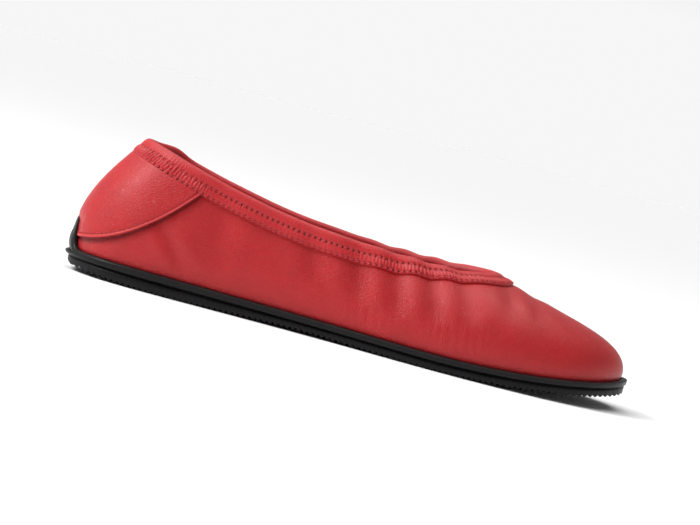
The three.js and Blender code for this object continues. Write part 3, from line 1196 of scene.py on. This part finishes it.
@dataclass
class CollarBinding(LeatherPiece):
    """Folded leather edge of the collar, gathered by the elastic that two rows of stitches hold in it."""

    columns: int = 2400
    half_wall: float = 0.9
    fold_steps: int = 8
    fold_flattened: float = 0.1
    upper_row: float = 2.9
    upper_thread: float = 1.3
    lower_row: float = 7.1
    lower_thread: float = 1.14
    stitch_pitch: float = 2.5
    hole_radius: float = 0.55
    hole_depth: float = 0.5
    # Painted shade in the needle holes
    hole_shade: float = 0.95
    gather: float = 0.36
    gather_pitch: float = 1.55
    gather_skew: float = 0.12
    gather_round: float = 1.3
    gather_width: float = 1.9
    # Painted shade in the folds between gathers
    gather_fold_shade: float = 0.55
    heel_gathers_fade: Span = (34.0, 64.0)
    heel_gathers_lost: float = 0.9
    throat_gathers_rise: Span = (112.0, 140.0)
    throat_gathers: float = 0.5
    pucker: float = 0.22
    pucker_distance: float = 1.2
    pucker_width: float = 1.1
    swell: float = 0.25
    swell_length: float = 14.5
    swell_start: float = 0.7
    outside_from: float = 0.8
    heel_lap: float = 0.1
    heel_lap_ends: Span = (46.0, 54.0)
    heel_lap_rises: Span = (1.2, 3.6)

    # Waves that make the gathers uneven: share of a gather, length and start
    WANDER = ((0.18, 23.0, 0.0), (0.12, 12.0, 1.0))
    # Outside of the band: distance below the collar's edge, and how far it stands off the upper
    OUTSIDE = (
        (7.75, 0.05),
        (7.85, 0.5),
        (7.75, 1.0),
        (7.5, 1.25),
        (7.3, 1.21),
        (7.1, 1.2),
        (6.9, 1.26),
        (6.7, 1.36),
        (6.25, 1.44),
        (5.7, 1.47),
        (5.15, 1.48),
        (4.6, 1.47),
        (4.0, 1.45),
        (3.5, 1.41),
        (3.15, 1.37),
        (2.9, 1.35),
        (2.65, 1.39),
        (2.4, 1.45),
        (2.0, 1.52),
        (1.6, 1.57),
        (1.2, 1.6),
        (0.8, 1.6),
        (0.4, 1.58),
    )
    # Inside leg and the hidden back of the band
    INSIDE = ((0.6, -3.35), (2.0, -3.3), (3.6, -3.05), (5.4, -3.1), (5.8, -2.8), (5.8, -1.85), (2.6, -1.8))

    def __post_init__(self) -> None:
        """Measures the collar along the middle of the band and fits a whole number of stitches to it."""
        self.middle = 0.5 * (self.upper_row + self.lower_row)
        self.around = np.arange(self.columns + 1) / self.columns
        height = self.last.heights_below_rim(self.around, [self.middle])[:, 0]
        run = running_length(self.last.wall(self.around, height))
        self.length = round(run[-1] / self.stitch_pitch) * self.stitch_pitch
        self.run = run * self.length / run[-1]
        self.section = np.array(self.OUTSIDE + self.INSIDE)
        self.heights = self.last.heights_below_rim(self.around, self.section[:, 0])

    def waves(self, run: Array, size: float) -> Array:
        """Gives the phase of waves of about a size, a whole number of which go round the collar."""
        return 2 * math.pi * round(self.length / size) * run / self.length

    def gathers(self, run: Array, distance: Array, along: Array) -> Array:
        """Gives the ridges that the elastic draws up between the rows, strongest at the heel and the throat.

        Args:
            run: Lengths along the collar.
            distance: Distances below its edge.
            along: Places along the sole.

        Returns:
            One height for each point, negative between ridges.
        """
        strength = 1 - self.heel_gathers_lost * smooth_step(*self.heel_gathers_fade, along)
        strength += self.throat_gathers * smooth_step(*self.throat_gathers_rise, along)
        between = bump(distance, self.middle, self.gather_width)
        between += self.pucker * bump(distance, self.pucker_distance, self.pucker_width)
        shift = self.gather_skew * (distance - self.middle)
        for share, length, start in self.WANDER:
            shift = shift + share * np.sin(self.waves(run, length) + start)
        phase = 0.5 * self.waves(run, self.gather_pitch) + math.pi * shift
        swell = 1 - self.swell * (1 - np.sin(self.waves(run, self.swell_length) + self.swell_start))
        ridges = 2.0 * np.abs(np.sin(phase)) ** self.gather_round - 1.0
        return self.gather * strength * between * swell * ridges

    def holes(self, run: Array, distance: Array) -> Array:
        """Gives a soft dot of height 1 at each needle hole of the two rows.

        Args:
            run: Lengths along the collar.
            distance: Distances below its edge.

        Returns:
            One height for each point.
        """
        off = (np.mod(run / self.stitch_pitch, 1.0) - 0.5) * self.stitch_pitch
        total = np.zeros(len(run))
        for row in (self.upper_row, self.lower_row):
            total += np.exp(-(off**2 + (distance - row) ** 2) / self.hole_radius**2)
        return total

    def band(self, column: Array, line: Array) -> Patch:
        """Gives points on the outside or the inside of the band.

        Args:
            column: Numbers of column.
            line: Numbers of row in the section.

        Returns:
            The points, with painted shade in the needle holes and in the folds between gathers.
        """
        run = self.run[column]
        distance, offset = self.section[line].T
        height = self.heights[column, line]
        points, _, normal = self.last.frame(self.around[column], height)
        along = points[:, 0]
        outside = offset > self.outside_from
        hole = self.holes(run, distance) * outside
        detail = self.gathers(run, distance, along) * outside - self.hole_depth * hole
        over_heel = (1 - smooth_step(*self.heel_lap_ends, along)) * outside
        lap = self.heel_lap * over_heel * smooth_step(*self.heel_lap_rises, distance)
        # Painted shade in the needle holes and in the folds between the gathers
        low = np.clip(-detail / self.gather, 0.0, 1.0)
        painted_shade = np.clip(self.hole_shade * hole + self.gather_fold_shade * low, 0.0, 1.0)
        return Patch(self.leather.stand_off(points, normal, height, offset + lap + detail), {"painted_shade": painted_shade})

    def fold(self, around: Array, angle: Array) -> Array:
        """Gives points on the round edge over the collar.

        Args:
            around: Places round the foot.
            angle: Angles over the edge, from 0 outside to half a turn inside.

        Returns:
            One point for each pair.
        """
        height = np.ones_like(around)
        points, up, normal = self.last.frame(around, height)
        _, offset = self.OUTSIDE[-1]
        radius = self.half_wall + offset - self.fold_flattened * np.sin(angle)
        out = radius * np.cos(angle) - self.half_wall
        over = up * (radius * np.sin(angle))[:, None]
        return self.leather.stand_off(points, normal, height, out) + over

    def place(self, column: Array, row: Array) -> Patch:
        """Places the section's rows: up the outside, over the fold and down the inside.

        Args:
            column: Numbers of column.
            row: Numbers of row.

        Returns:
            The points, with the painted shade marked.
        """
        outer = len(self.OUTSIDE)
        turn = row % (len(self.section) + self.fold_steps)
        folded = (turn >= outer) & (turn < outer + self.fold_steps)
        patch = self.band(column, np.where(turn < outer, turn, turn - self.fold_steps))
        angle = math.pi * (turn[folded] - outer + 1) / (self.fold_steps + 1)
        patch.points[folded] = self.fold(self.around[column[folded]], angle)
        # No painted shade on the round fold over the collar
        patch.marks["painted_shade"][folded] = 0.0
        return patch

    def build(self) -> bpy.types.Object:
        """Builds the band as one closed section carried round the collar.

        Returns:
            The piece.
        """
        mesh = map_grid(self.columns, len(self.section) + self.fold_steps, self.place, self.last)
        return finish_piece("collar_band", mesh, [self.finishes.binding], "collar_binding")

    def stitch_line(self, distance: float, offset: float) -> tuple[Array, Array]:
        """Follows a stitch row round the collar.

        Args:
            distance: Distance of the row below the collar's edge.
            offset: How far the thread stands off the upper.

        Returns:
            The points of the row and their normals.
        """
        height = self.last.heights_below_rim(self.around, [distance])[:, 0]
        return self.surface(self.around, height, offset)


@dataclass
class StitchRow:
    """Row of lockstitches along a line on the leather."""

    last: Last
    pitch: float
    radius: float = 0.24
    cover: float = 0.8
    closed: bool = False
    sides: int = 8
    rings: int = 6

    def sew(self, mesh: bmesh.types.BMesh, points: Array, normals: Array) -> None:
        """Adds the stitches of a row to a mesh.

        Args:
            mesh: Mesh to add to.
            points: Line of the row.
            normals: Directions out of the leather along it.
        """
        run = running_length(points)
        count = max(int(round(run[-1] / self.pitch)), 1)
        pitch = run[-1] / count
        first = pitch if self.closed else 0.5 * pitch
        half = 0.5 * self.cover * pitch
        for number in range(count):
            middle = first + number * pitch
            tail, head = (self.sample(run, points, middle + end) for end in (-half, half))
            centre = self.last.placed(self.sample(run, points, middle))
            out = self.sample(run, normals, middle)
            self.stitch(mesh, Vector(centre), Vector(head - tail), Vector(out))

    def sample(self, run: Array, values: Array, at: float) -> Array:
        """Reads a line of values at a length along it.

        Args:
            run: Lengths along the line.
            values: One row of values for each length.
            at: Length to read at.

        Returns:
            The row of values there.
        """
        at = at % run[-1] if self.closed else min(max(at, 0.0), run[-1])
        return np.array([np.interp(at, run, values[:, k]) for k in range(values.shape[1])])

    def stitch(self, mesh: bmesh.types.BMesh, centre: Vector, along: Vector, out: Vector) -> None:
        """Adds one stitch: a slim rounded body along its row.

        Args:
            mesh: Mesh to add to.
            centre: Middle of the stitch, in metres.
            along: The stitch from end to end, in millimetres.
            out: Direction out of the leather.
        """
        forward = along.normalized()
        across = out.cross(forward).normalized()
        turn = Matrix((forward, across, forward.cross(across))).transposed().to_4x4()
        size = Matrix.Diagonal((0.5 * along.length * MM, self.radius * MM, self.radius * MM, 1.0))
        matrix = Matrix.Translation(centre) @ turn @ size
        bmesh.ops.create_uvsphere(
            mesh, u_segments=self.sides, v_segments=self.rings, radius=1.0, matrix=matrix
        )


@dataclass
class MidsoleLip:
    """Smooth rubber midsole with a lip round the upper, a bead at the heel and a tab up its back."""

    last: Last
    finishes: Finishes
    columns: int = 960
    plate_bottom: float = 4.2
    plate_top: float = 5.8
    rise_heel: float = 1.6
    rise_toe: float = 0.6
    tab_rise: float = 13.7
    tab_half_width: float = 8.8
    tab_fillet: float = 2.4
    bead: float = 1.2
    bead_start: float = 0.1
    bead_height: float = 2.6
    bead_half_width: float = 15.0
    bead_fades: Span = (10.0, 40.0)
    core_inset: float = 14.0
    sharp_angle: float = 50.0

    # Edge of the plate: inset from the outline, and level over its underside
    EDGE = ((0.5, 0.0), (0.15, 0.12), (0.0, 0.4), (0.0, 0.8), (0.0, 1.2), (0.0, 1.6), (0.02, 1.95))
    # Share of the rise, and how far the lip and the tab stand off the upper there
    LIP = (
        (0.06, 2.6, 2.0),
        (0.16, 2.62, 2.35),
        (0.28, 2.64, 2.5),
        (0.4, 2.64, 2.42),
        (0.5, 2.6, 2.1),
        (0.58, 2.54, 1.75),
        (0.68, 2.42, 1.5),
        (0.82, 2.15, 1.35),
        (0.94, 1.75, 1.25),
        (0.99, 1.4, 1.1),
        (1.0, 1.0, 0.8),
        (1.0, 0.5, 0.4),
        (0.98, 0.05, 0.05),
        (0.5, 0.0, 0.0),
    )

    def rise(self, around: Array) -> tuple[Array, Array]:
        """Gives how far the lip and its tab rise over the foot of the upper.

        Args:
            around: Places round the foot.

        Returns:
            The rises, and the tab's share of its full height.
        """
        edge = self.last.sole_edge(around)
        side = np.where(edge[:, 0] < 0.5 * self.last.length, np.abs(edge[:, 1]), self.last.ball_width)
        tab = 0.5 * (1 - np.tanh((side - self.tab_half_width) / self.tab_fillet))
        lip = self.rise_heel + (self.rise_toe - self.rise_heel) * edge[:, 0] / self.last.length
        return lip + self.tab_rise * tab, tab

    def plate_row(self, around: Array, inset: float, level: float, bead: float = 0.0) -> Array:
        """Gives a line of the plate.

        Args:
            around: Places round the foot.
            inset: How far the line lies in from the outline.
            level: Its level.
            bead: How far it is swollen at the back of the heel.

        Returns:
            One point for each place.
        """
        along, side = self.last.sole_edge(around).T
        swell = bead * bump(side, 0.0, self.bead_half_width) * (1 - smooth_step(*self.bead_fades, along))
        plan = self.last.outline(around, inset - swell)
        return np.column_stack([plan, level + self.last.lift(plan[:, 0])])

    def build(self) -> bpy.types.Object:
        """Builds the plate and its lip as one strip, then closes it above and below.

        Returns:
            The piece.
        """
        around = np.arange(self.columns + 1) / self.columns
        lines = [self.plate_row(around, self.core_inset, self.plate_bottom)]
        for inset, level in self.EDGE:
            bead = self.bead * math.sin(math.pi * (level + self.bead_start) / self.bead_height)
            lines.append(self.plate_row(around, inset, self.plate_bottom + level, bead))
        rise, tab = self.rise(around)
        shares = np.array(self.LIP)[:, 0]
        heights = self.last.heights_at_rise(around, rise[:, None] * shares)
        for number, (_, plain, tabbed) in enumerate(self.LIP):
            points, _, normal = self.last.frame(around, heights[:, number])
            lines.append(points + normal * (plain + (tabbed - plain) * tab)[:, None])
        lines.append(self.plate_row(around, self.last.foot_inset, self.plate_top))
        lines.append(self.plate_row(around, self.core_inset, self.plate_top))
        strip = np.stack(lines, axis=1)
        mesh = map_grid(
            self.columns, len(lines) - 1, lambda column, row: Patch(strip[column, row]), self.last
        )
        bmesh.ops.edgeloop_fill(mesh, edges=[edge for edge in mesh.edges if edge.is_boundary])
        return finish_piece(
            "rubber_midsole", mesh, [self.finishes.lip], "midsole_lip", self.sharp_angle
        )


@dataclass
class SolePlan:
    """Plan of a sole layer, which is built from cross sections one behind the other."""

    last: Last
    inset: float
    samples: int = 4000
    overlap: float = 0.25
    search: float = 0.2

    def __post_init__(self) -> None:
        """Splits the outline at the heel and the toe."""
        around = np.linspace(-self.overlap, 1 + self.overlap, self.samples)
        points = self.last.outline(around, self.inset)
        heel, toe, end = (
            int(np.argmin(np.where(np.abs(around - place) < self.search, sign * points[:, 0], np.inf)))
            for place, sign in ((0.0, 1), (0.5, -1), (1.0, 1))
        )
        self.outer = points[heel : toe + 1]
        self.inner = points[toe : end + 1][::-1]
        self.start = float(points[heel, 0])
        self.finish = float(points[toe, 0])

    def stations(self, count: int, crowd: float) -> Array:
        """Gives places along the layer, closer together at its two round ends.

        Args:
            count: Number of steps.
            crowd: How far the spacing follows a half circle, from 0 to 1.

        Returns:
            The places, from the heel to the toe.
        """
        share = np.linspace(0, 1, count + 1)
        eased = (1 - crowd) * share + crowd * 0.5 * (1 - np.cos(math.pi * share))
        return self.start + (self.finish - self.start) * eased

    def widths(self, along: Array) -> tuple[Array, Array]:
        """Measures the layer across.

        Args:
            along: Places along it.

        Returns:
            Its middle and half its width at each place, as columns.
        """
        outer = np.interp(along, self.outer[:, 0], self.outer[:, 1])[:, None]
        inner = np.interp(along, self.inner[:, 0], self.inner[:, 1])[:, None]
        return 0.5 * (outer + inner), 0.5 * (inner - outer)

    def loft(self, along: Array, sides: Array, levels: Array) -> bmesh.types.BMesh:
        """Joins cross sections into a closed mesh.

        Args:
            along: Place of each section.
            sides: Sideways places of its points, one row for each section.
            levels: Their levels, in the same rows.

        Returns:
            The mesh.
        """
        rows = sides.shape[1]
        points = np.stack([np.broadcast_to(along[:, None], sides.shape), sides, levels], axis=2)
        mesh = map_grid(
            len(along) - 1, rows, lambda column, row: Patch(points[column, row % rows]), self.last
        )
        bmesh.ops.holes_fill(mesh, edges=mesh.edges, sides=0)
        return mesh


@dataclass
class Outsole:
    """Rubber outsole with cross-wise teeth that notch its side, and a groove under the midsole."""

    last: Last
    finishes: Finishes
    stations: int = 1500
    crowding: float = 0.3
    across: int = 6
    thickness: float = 3.9
    tooth_pitch: float = 2.56
    tooth_depth: float = 1.1
    tooth_phase: float = 1.0
    tooth_round: float = 0.9
    teeth_start: Span = (2.0, 9.0)
    heel_bevel: float = 2.6
    heel_round: float = 1.5
    heel_round_reach: float = 2.8
    arch_lift: float = 1.0
    sharp_angle: float = 42.0

    # Side of the sole: inset from its outline, and share of the way from the tread to the top
    SIDE = (
        (0.25, 0.0),
        (0.05, 0.06),
        (0.0, 0.25),
        (0.0, 0.5),
        (0.02, 0.74),
        (0.25, 0.83),
        (0.8, 0.9),
        (0.95, 1.0),
    )

    def tread(self, along: Array) -> Array:
        """Gives the level of the tread: teeth with round crests, on the sole's side view.

        Args:
            along: Places along the sole.

        Returns:
            One level for each place.
        """
        last = self.last
        behind = np.maximum(1 - along / last.heel_rest, 0.0)
        tip = np.maximum(1 - (along - last.outsole_inset) / self.heel_round_reach, 0.0)
        bevel = self.heel_bevel * behind**2 + self.heel_round * tip**2
        share = np.clip((along - last.heel_rest) / (last.ball_rest - last.heel_rest), 0.0, 1.0)
        arch = self.arch_lift * np.sin(math.pi * share) ** 2
        phase = (along - self.tooth_phase) / self.tooth_pitch + 0.5
        depth = self.tooth_depth * smooth_step(*self.teeth_start, along)
        teeth = depth * (1 - np.abs(np.sin(math.pi * phase)) ** self.tooth_round)
        return last.spring(along) + bevel + arch + teeth

    def build(self) -> bpy.types.Object:
        """Builds the sole, each section up one side, over the top, down the other side and along the tread.

        Returns:
            The piece.
        """
        plan = SolePlan(self.last, self.last.outsole_inset)
        along = plan.stations(self.stations, self.crowding)
        middle, half = plan.widths(along)
        low = self.tread(along)[:, None]
        top = (self.thickness + self.last.lift(along))[:, None]
        inset, share = np.array(self.SIDE).T
        widths = np.maximum(half - inset, 0.0)
        rising = low + (top - low) * share
        spread = np.linspace(-1, 1, self.across + 1)[1:-1]
        level = np.ones_like(spread)
        sides = [widths, -widths[:, -1:] * spread, -widths[:, ::-1], widths[:, :1] * spread]
        levels = [rising, top * level, rising[:, ::-1], low * level]
        mesh = plan.loft(along, middle + np.concatenate(sides, axis=1), np.concatenate(levels, axis=1))
        return finish_piece(
            "rubber_outsole", mesh, [self.finishes.tread], "outsole", self.sharp_angle
        )


@dataclass
class Insole:
    """Cloth-covered insole, slightly dished, with a rounded edge."""

    last: Last
    finishes: Finishes
    stations: int = 220
    crowding: float = 0.85
    inset: float = 4.75
    thickness: float = 2.0
    dish: float = 0.9
    sharp_angle: float = 60.0

    # Half of the section: share of the half width, share of the thickness and share of the dish
    SECTION = (
        (0.97, 0.0, 0.0),
        (0.995, 0.3, 0.0),
        (1.0, 0.6, 0.0),
        (0.99, 0.9, 0.0),
        (0.965, 1.0, 0.05),
        (0.9, 1.0, 0.2),
        (0.75, 1.0, 0.55),
        (0.55, 1.0, 0.85),
        (0.3, 1.0, 1.0),
        (0.0, 1.0, 1.0),
    )

    def build(self) -> bpy.types.Object:
        """Builds the insole, the second half of each section a mirror image of the first.

        Returns:
            The piece.
        """
        plan = SolePlan(self.last, self.inset)
        along = plan.stations(self.stations, self.crowding)
        middle, half = plan.widths(along)
        section = np.array(self.SECTION)
        across, up, down = np.concatenate([section, section[-2::-1] * (-1, 1, 1)]).T
        base = (self.last.foot_level + self.last.lift(along))[:, None]
        mesh = plan.loft(along, middle + half * across, base + self.thickness * up - self.dish * down)
        return finish_piece(
            "cloth_insole", mesh, [self.finishes.lining], "insole", self.sharp_angle
        )


def sew_rows(binding: CollarBinding, heel: HeelPiece) -> list[bpy.types.Object]:
    """Sews the two rows of the collar and the row along the heel seam.

    Args:
        binding: Collar binding that the first two rows hold.
        heel: Heel piece that the third row holds.

    Returns:
        The stitches of the collar and those of the heel seam.
    """
    collar = bmesh.new()
    row = StitchRow(binding.last, binding.stitch_pitch, closed=True)
    row.sew(collar, *binding.stitch_line(binding.upper_row, binding.upper_thread))
    row.sew(collar, *binding.stitch_line(binding.lower_row, binding.lower_thread))
    edge = bmesh.new()
    StitchRow(heel.last, heel.stitch_pitch, heel.stitch_radius).sew(edge, *heel.stitch_line())
    return [
        finish_piece("collar_stitches", collar, [binding.finishes.thread]),
        finish_piece("heel_seam_stitches", edge, [heel.finishes.seam_thread]),
    ]


class Lamp(Enum):
    """Lamps of the studio: kind, place, size and power."""

    KEY = ("AREA", (-1.15, -0.34, 1.1), 0.6, 17.0)
    OVERHEAD = ("SUN", (-0.3, 0.2, 1.4), math.radians(80.0), 2.5)


@dataclass
class Studio:
    """Pale floor, soft lamps and the camera at the photograph's angle, in metres and degrees."""

    azimuth: float = -3.0
    elevation: float = 3.0
    roll: float = 15.0
    distance: float = 1.25
    target: tuple[float, float, float] = (-0.006, 0.0, 0.0335)
    frame_width: float = 0.31
    sensor_width: float = 36.0
    floor_size: float = 60.0
    floor_colour: str = "#fbfbfb"
    floor_roughness: float = 0.95
    room_colour: str = "#ffffff"
    ambient: float = 0.18
    horizon: float = 0.925
    horizon_low: float = 0.06
    horizon_high: float = 0.3

    def floor(self) -> None:
        """Makes the floor of white painted board, which shows only a soft shadow."""
        mesh = bmesh.new()
        bmesh.ops.create_grid(mesh, x_segments=1, y_segments=1, size=0.5 * self.floor_size)
        data = bpy.data.meshes.new("floor")
        mesh.to_mesh(data)
        mesh.free()
        material, tree, shader = new_material("white studio floor")
        set_inputs(
            tree, shader, {"Base Color": linear(self.floor_colour), "Roughness": self.floor_roughness}
        )
        data.materials.append(material)
        floor = bpy.data.objects.new("floor", data)
        bpy.context.scene.collection.objects.link(floor)

    def lamps(self) -> None:
        """Hangs the lamps, all turned to the shoe."""
        for lamp in Lamp:
            kind, place, size, power = lamp.value
            data = bpy.data.lights.new(lamp.name.lower(), kind)
            data.energy = power
            if kind == "SUN":
                data.angle = size
            else:
                data.size = size
            hung = bpy.data.objects.new(lamp.name.lower(), data)
            hung.location = place
            hung.rotation_euler = (Vector(self.target) - Vector(place)).to_track_quat("-Z", "Y").to_euler()
            bpy.context.scene.collection.objects.link(hung)

    def room(self) -> None:
        """Surrounds the floor with a white horizon that dims towards a soft ceiling."""
        world = bpy.data.worlds.new("white studio")
        world.use_nodes = True
        tree = world.node_tree
        direction = add_node(tree, "TexCoord", "Generated")
        height = add_node(tree, "SeparateXYZ", "Z", {0: direction})
        glow = add_node(
            tree,
            "MapRange",
            "Result",
            {
                "Value": height,
                "From Min": self.horizon_low,
                "From Max": self.horizon_high,
                "To Min": self.horizon,
                "To Max": self.ambient,
            },
        )
        set_inputs(tree, tree.nodes["Background"], {"Color": linear(self.room_colour), "Strength": glow})
        bpy.context.scene.world = world

    def camera(self) -> None:
        """Sets the camera on the outer side, a little behind the heel, rolled so that the sole slopes."""
        turn = math.radians(self.azimuth)
        tilt = math.radians(self.elevation)
        back = Vector((math.sin(turn) * math.cos(tilt), -math.cos(turn) * math.cos(tilt), math.sin(tilt)))
        data = bpy.data.cameras.new("camera")
        data.sensor_width = self.sensor_width
        data.lens = data.sensor_width * self.distance / self.frame_width
        camera = bpy.data.objects.new("camera", data)
        camera.location = Vector(self.target) + back * self.distance
        aim = (-back).to_track_quat("-Z", "Y")
        camera.rotation_mode = "QUATERNION"
        camera.rotation_quaternion = aim @ Quaternion((0.0, 0.0, 1.0), math.radians(self.roll))
        bpy.context.scene.collection.objects.link(camera)
        bpy.context.scene.camera = camera

    def build(self) -> None:
        """Sets up the whole studio."""
        self.floor()
        self.lamps()
        self.room()
        self.camera()
        bpy.context.scene.view_settings.view_transform = "Standard"


def report(piece: bpy.types.Object) -> None:
    """Logs a piece and its count of triangles."""
    piece.data.calc_loop_triangles()
    LOG.info("%s: %d triangles", piece.name, len(piece.data.loop_triangles))


def main() -> None:
    """Loads the part, builds the shoe piece by piece and reports each piece."""
    logging.basicConfig(level=logging.INFO, format="%(message)s")
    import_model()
    Studio().build()
    last = Last()
    leather = Leather()
    finishes = Finishes()
    seam = HeelSeam(last)
    heel = HeelPiece(last, leather, finishes, seam)
    binding = CollarBinding(last, leather, finishes)
    pieces = [
        Outsole(last, finishes).build(),
        MidsoleLip(last, finishes).build(),
        Insole(last, finishes).build(),
        Upper(last, leather, finishes, seam).build(),
        heel.build(),
        binding.build(),
        *sew_rows(binding, heel),
    ]
    for piece in pieces:
        report(piece)


if __name__ == "__main__":
    main()
